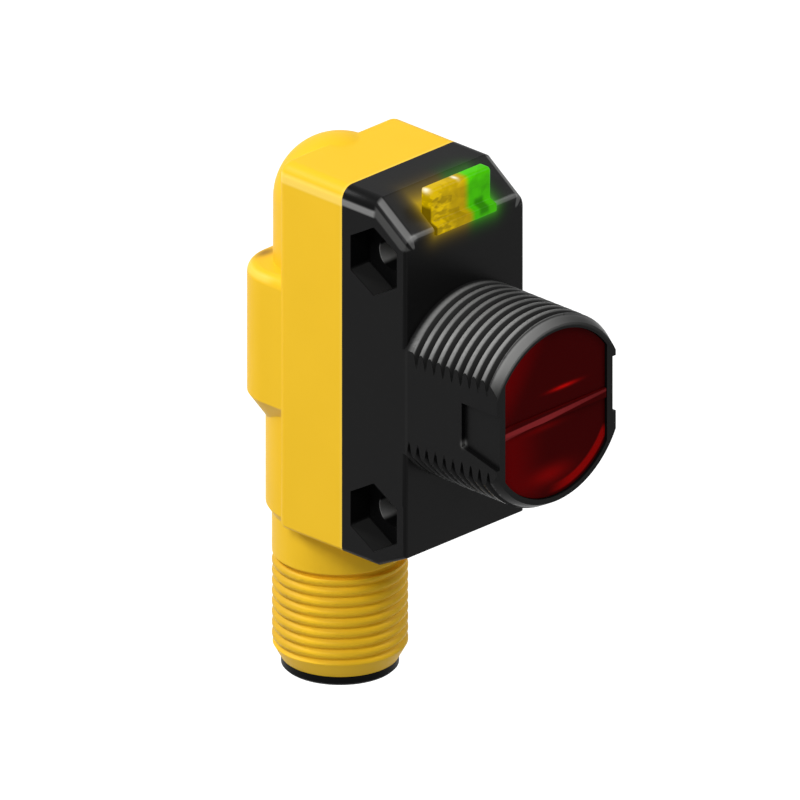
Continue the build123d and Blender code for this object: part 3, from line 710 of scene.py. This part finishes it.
def helix_cutter(name, centre, across, along, radius, pitch, start, turns, start_angle, depth):
    """Sweep the groove's section along a helix.

    At turn t the section's middle is at angle a = start_angle + 2 pi t, at
    centre + along * (start + pitch * t) + (radius + out) * (cos a * across[0]
    + sin a * across[1]); each point of the section adds its own step along the axis and
    its own step out from it. The depth multiplies the section's steps out, and over the
    first and the last sixth of a turn the section lifts out of the part.
    """
    section = np.array(GROOVE_SECTION) * [1.0, depth]
    t = np.linspace(0.0, turns, int(turns * STEPS_PER_TURN) + 1)[:, None]
    lift = LIFT * depth * np.clip(1 - np.minimum(t, turns - t) / LIFT_TURNS, 0, 1)
    angle = start_angle + 2 * math.pi * t
    out = radius + section[None, :, 1] + lift
    shift = start + pitch * t + section[None, :, 0]
    ring = np.cos(angle)[..., None] * across[0] + np.sin(angle)[..., None] * across[1]
    points = centre + shift[..., None] * along + out[..., None] * ring
    rows, columns = points.shape[:2]
    row, column = np.meshgrid(np.arange(rows - 1), np.arange(columns), indexing="ij")
    after = (column + 1) % columns
    quads = np.stack(
        [
            row * columns + column,
            (row + 1) * columns + column,
            (row + 1) * columns + after,
            row * columns + after,
        ],
        axis=-1,
    ).reshape(-1, 4)
    caps = [list(range(columns)), list(range((rows - 1) * columns, rows * columns))]
    mesh = bpy.data.meshes.new(name)
    mesh.from_pydata((points.reshape(-1, 3) * MM).tolist(), [], quads.tolist() + caps)
    work = bmesh.new()
    work.from_mesh(mesh)
    bmesh.ops.recalc_face_normals(work, faces=work.faces)
    work.to_mesh(mesh)
    work.free()
    cutter = bpy.data.objects.new(name, mesh)
    bpy.context.scene.collection.objects.link(cutter)
    return cutter


def cut(piece, cutter):
    """Take the cutter away from the piece and remove the cutter."""
    boolean = piece.modifiers.new("thread", "BOOLEAN")
    boolean.operation = "DIFFERENCE"
    boolean.solver = "EXACT"
    boolean.object = cutter
    settled(piece)
    bpy.data.objects.remove(cutter)


print("a groove section has", len(GROOVE_SECTION), "points")

# %% [markdown]
# ## The black cover and its barrel
# The barrel's thread starts just in front of the cover's face and runs out in the lead
# chamfer at the tip. It is cut across the two flats, so on each flat the grooves end in a
# row of small teeth. The place where one groove meets a flat was read off the photograph,
# and the angle at the thread's start is counted back from there.

# %% Cover and barrel
X_AXIS = np.array([1.0, 0.0, 0.0])
Y_AXIS = np.array([0.0, 1.0, 0.0])
Z_AXIS = np.array([0.0, 0.0, 1.0])
BARREL_PITCH = 1.083
BARREL_FIRST_GROOVE = 5.24
BARREL_FIRST_ANGLE = math.atan2(4.6, -7.5)
BARREL_THREAD_START = 4.15
BARREL_THREAD_END = 14.3
BARREL_GROOVE_DEPTH = 1.3

cover = soften(welded_copy("front_cover", "cover_and_barrel"), EDGE_ROUND)
barrel_start_angle = (
    BARREL_FIRST_ANGLE
    - 2 * math.pi * (BARREL_FIRST_GROOVE - BARREL_THREAD_START) / BARREL_PITCH
)
cut(
    cover,
    helix_cutter(
        "barrel_thread_cutter",
        centre=np.zeros(3),
        across=(X_AXIS, Z_AXIS),
        along=-Y_AXIS,
        radius=BARREL_R,
        pitch=BARREL_PITCH,
        start=BARREL_THREAD_START,
        turns=(BARREL_THREAD_END - BARREL_THREAD_START) / BARREL_PITCH,
        start_angle=barrel_start_angle,
        depth=BARREL_GROOVE_DEPTH,
    ),
)
dressed(cover, black_moulding, ROOT, "black_plastic", "front_cover")

# %% [markdown]
# ## The yellow shell and its neck
# The connector neck has a finer look: the same groove, about half as deep, starts at the
# narrow relief groove below the sleeve and ends at the chamfer of the tip. The solid's
# collar has its ledge a little higher than the photograph shows, so the copy's points
# there are moved down. The neck's long faces are then cut into rings, because smooth
# shading across one long face would smear the groove's edge over all of it.

# %% Lowering a ledge and cutting rings
def lower_ledge(piece, low, high, behind, drop):
    """Move a ledge down: each point with z from low to high and y beyond behind drops."""
    place = np.empty(3 * len(piece.data.vertices))
    piece.data.vertices.foreach_get("co", place)
    place = place.reshape(-1, 3)
    inside = (place[:, 2] > low * MM) & (place[:, 2] < high * MM) & (place[:, 1] > behind * MM)
    place[inside, 2] -= drop * MM
    piece.data.vertices.foreach_set("co", place.ravel())
    piece.data.update()
    print("moved", int(inside.sum()), "points of the ledge down by", round(drop, 2), "mm")


def ring_cuts(piece, levels):
    """Cut the faces at level planes, so that a groove's shading stays inside one ring."""
    work = bmesh.new()
    work.from_mesh(piece.data)
    for level in levels:
        geometry = work.verts[:] + work.edges[:] + work.faces[:]
        bmesh.ops.bisect_plane(
            work, geom=geometry, plane_co=(0, 0, level * MM), plane_no=(0, 0, 1)
        )
    work.to_mesh(piece.data)
    work.free()


print("the ledge goes down by", round(COLLAR_BELOW_TOP - COLLAR_SOLID_BELOW_TOP, 2), "mm")

# %% Shell and neck
NECK_PITCH = 1.0
NECK_GROOVE_DEPTH = 0.58
NECK_FRONT_ANGLE = math.radians(135.6)
NECK_TURNS_TO_FRONT = 0.4
BOX_BACK_Y = 11.9
LEDGE_MARGIN = 0.02
RING_LOW = -30.3
RING_HIGH = -21.5
RING_HEIGHT = 0.15

shell = welded_copy("rear_housing", "shell_and_neck")
ledge_z = TOP_Z - COLLAR_SOLID_BELOW_TOP
lower_ledge(
    shell,
    low=ledge_z - COLLAR_EDGE_ROUND - LEDGE_MARGIN,
    high=ledge_z + LEDGE_MARGIN,
    behind=BOX_BACK_Y - 1.2,
    drop=COLLAR_BELOW_TOP - COLLAR_SOLID_BELOW_TOP,
)
soften(shell, EDGE_ROUND)
ring_cuts(shell, np.arange(RING_LOW, RING_HIGH, RING_HEIGHT))
cut(
    shell,
    helix_cutter(
        "neck_thread_cutter",
        centre=Y_AXIS * CONNECTOR_Y,
        across=(X_AXIS, -Y_AXIS),
        along=-Z_AXIS,
        radius=NECK_R,
        pitch=NECK_PITCH,
        start=NECK_THREAD_START,
        turns=(NECK_THREAD_END - NECK_THREAD_START) / NECK_PITCH,
        start_angle=NECK_FRONT_ANGLE - 2 * math.pi * NECK_TURNS_TO_FRONT,
        depth=NECK_GROOVE_DEPTH,
    ),
)
dressed(shell, yellow_moulding, ROOT, "yellow_plastic", "rear_housing")

# %% [markdown]
# ## The window's soft edges
# The window is cast and polished, so its edges are rounder than the cover's.

# %% Window
window = soften(welded_copy("indicator_window", "lit_window"), WINDOW_EDGE_ROUND, 3)
dressed(window, lit_window, ROOT, "clear_plastic", "indicator_window")

# %% [markdown]
# ## Light and background
# The object hangs from its mounting holes, so it stands on nothing. A pale floor lies
# well below it, where its shadow falls out of the picture. A large soft lamp high behind
# the left side lights the top, the left side and the back. A second lights the top and the
# left side from nearer the camera, and a weaker one lights the front from the right. The
# world and the floor are white to the camera, to reflections and through clear plastic,
# and dimmer as a light.

# %% World, lamps and floor
FLOOR_Z = -120.0
FLOOR_HALF = 3000.0
WORLD_LIGHT = 0.35
FLOOR_GREY = 0.5
FLOOR_GLOW = 0.8
LAMP_DISTANCE = 500
SEEN_BY = ["Is Camera Ray", "Is Glossy Ray", "Is Transmission Ray"]

world = bpy.data.worlds.new("studio")
bpy.context.scene.world = world
world.use_nodes = True
sky = world.node_tree
sky.nodes.clear()
path = sky.nodes.new("ShaderNodeLightPath")
seen = path.outputs[SEEN_BY[0]]
for kind in SEEN_BY[1:]:
    either = sky.nodes.new("ShaderNodeMath")
    either.operation = "MAXIMUM"
    sky.links.new(seen, either.inputs[0])
    sky.links.new(path.outputs[kind], either.inputs[1])
    seen = either.outputs[0]
strength = sky.nodes.new("ShaderNodeMapRange")
strength.inputs["To Min"].default_value = WORLD_LIGHT
strength.inputs["To Max"].default_value = 1.0
sky.links.new(seen, strength.inputs["Value"])
backdrop = sky.nodes.new("ShaderNodeBackground")
sky.links.new(strength.outputs[0], backdrop.inputs["Strength"])
world_out = sky.nodes.new("ShaderNodeOutputWorld")
sky.links.new(backdrop.outputs[0], world_out.inputs["Surface"])


def lamp(name, direction, size, watts):
    """Hang a square soft lamp that way from the object, aimed at it; size in millimetres."""
    data = bpy.data.lights.new(name, "AREA")
    data.size = size * MM
    data.energy = watts
    hung = bpy.data.objects.new(name, data)
    away = np.array(direction) / np.linalg.norm(direction)
    side = np.cross(Z_AXIS, away)
    side = side / np.linalg.norm(side)
    hung.matrix_world = placed([side, np.cross(away, side), away], away * LAMP_DISTANCE)
    bpy.context.scene.collection.objects.link(hung)


lamp("back_left_lamp", (-0.42, 0.62, 0.66), 150, 1.4)
lamp("left_lamp", (-0.70, -0.14, 0.70), 150, 1.25)
lamp("right_lamp", (0.65, -0.40, 0.64), 200, 0.6)

paint = Paint("pale_floor")
ray = paint.node("ShaderNodeLightPath").socket.node.outputs
seen = Wire(paint, ray[SEEN_BY[0]])
for kind in SEEN_BY[1:]:
    seen = seen.math("MAXIMUM", Wire(paint, ray[kind]))
matte = paint.node("ShaderNodeBsdfDiffuse", None, {"Color": paint.color((FLOOR_GREY,) * 3)})
white = paint.node("ShaderNodeEmission", None, {"Strength": seen * FLOOR_GLOW})
both = paint.node("ShaderNodeAddShader", None, [matte, white])
paint.node("ShaderNodeOutputMaterial", None, {"Surface": both})
floor_mesh = bpy.data.meshes.new("floor")
corners = np.array([(-1, -1), (1, -1), (1, 1), (-1, 1)]) * FLOOR_HALF
floor_mesh.from_pydata(
    [(x * MM, y * MM, FLOOR_Z * MM) for x, y in corners], [], [(0, 1, 2, 3)]
)
floor_mesh.materials.append(paint.material)
floor = bpy.data.objects.new("floor", floor_mesh)
bpy.context.scene.collection.objects.link(floor)
bpy.context.scene.view_settings.view_transform = "Standard"
